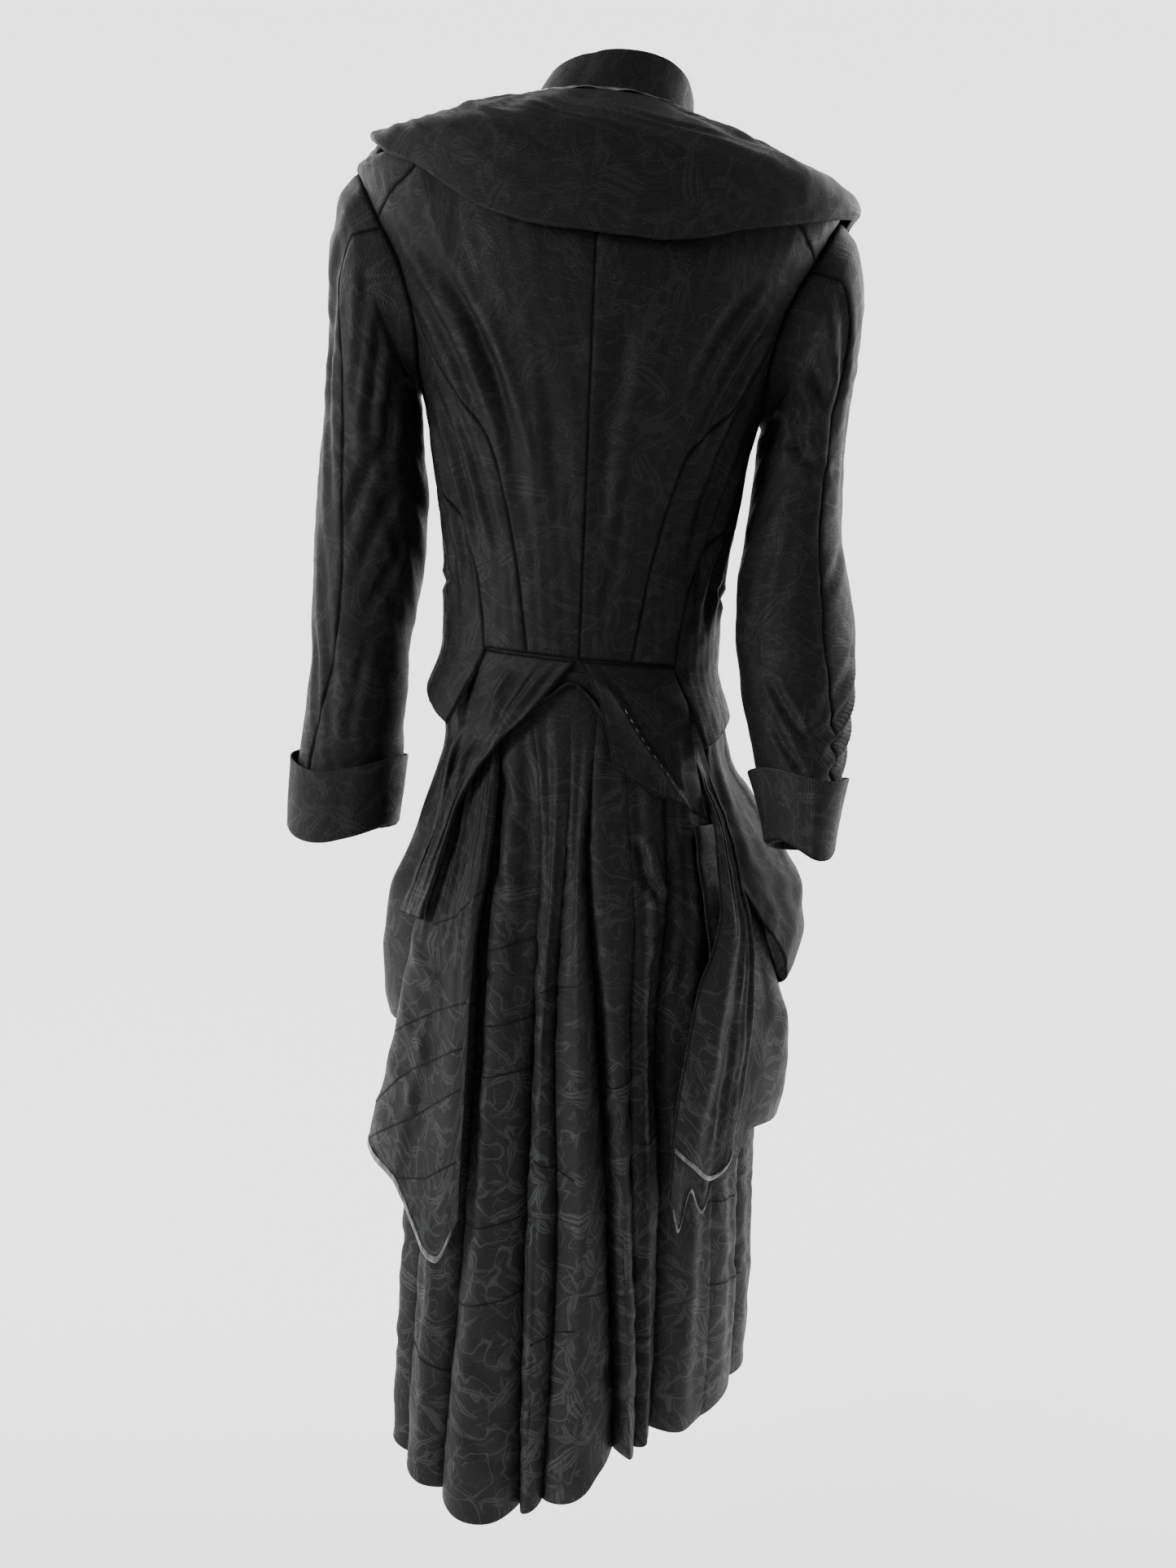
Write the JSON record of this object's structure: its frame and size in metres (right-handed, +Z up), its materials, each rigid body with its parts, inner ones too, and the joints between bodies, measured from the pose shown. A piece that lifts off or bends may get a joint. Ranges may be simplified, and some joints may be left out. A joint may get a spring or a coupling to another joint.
{
  "type": "coat",
  "caption": "Long fitted black coat with a cape collar, turned-back cuffs and a full skirt hung with swags and pointed side drapes, shaped as worn.",
  "frame": {"origin": "middle of the neck opening at the height where neck and shoulders meet, where the wearer's shoulders hold the coat up", "axes": "+Z up, +Y towards the wearer's back, +X towards the wearer's left"},
  "size_m": [0.5154, 0.3333, 1.2835],
  "materials": {
    "figured_cloth": "near-black jacquard with leaves woven in a slightly different sheen, over a fine cross rib",
    "satin": "smooth grey satin binding",
    "button": "dark, softly polished"
  },
  "bodies": {
    "root": {"back_left": "figured_cloth", "back_right": "figured_cloth", "side_back_left": "figured_cloth", "side_back_right": "figured_cloth", "side_left": "figured_cloth", "side_right": "figured_cloth", "front_left": "figured_cloth", "front_right": "figured_cloth", "yoke_left": "figured_cloth", "yoke_right": "figured_cloth", "sleeve_upper_left": "figured_cloth", "sleeve_upper_right": "figured_cloth", "sleeve_under_left": "figured_cloth", "sleeve_under_right": "figured_cloth", "cuff_left": "figured_cloth", "cuff_right": "figured_cloth", "collar_stand": "figured_cloth", "collar": "figured_cloth", "skirt_back": "figured_cloth", "skirt_left": "figured_cloth", "skirt_right": "figured_cloth", "centre_facing": "figured_cloth", "swag_left": "figured_cloth", "swag_right": "figured_cloth", "drape_back_left": "figured_cloth", "drape_side_left": "figured_cloth", "cascade_right": "figured_cloth", "tail_right": "figured_cloth", "drape_side_right": "figured_cloth", "drape_lower_right": "figured_cloth", "collar_binding": "satin", "button_1": "button", "button_2": "button", "button_3": "button", "button_4": "button"}
  },
  "joints": []
}
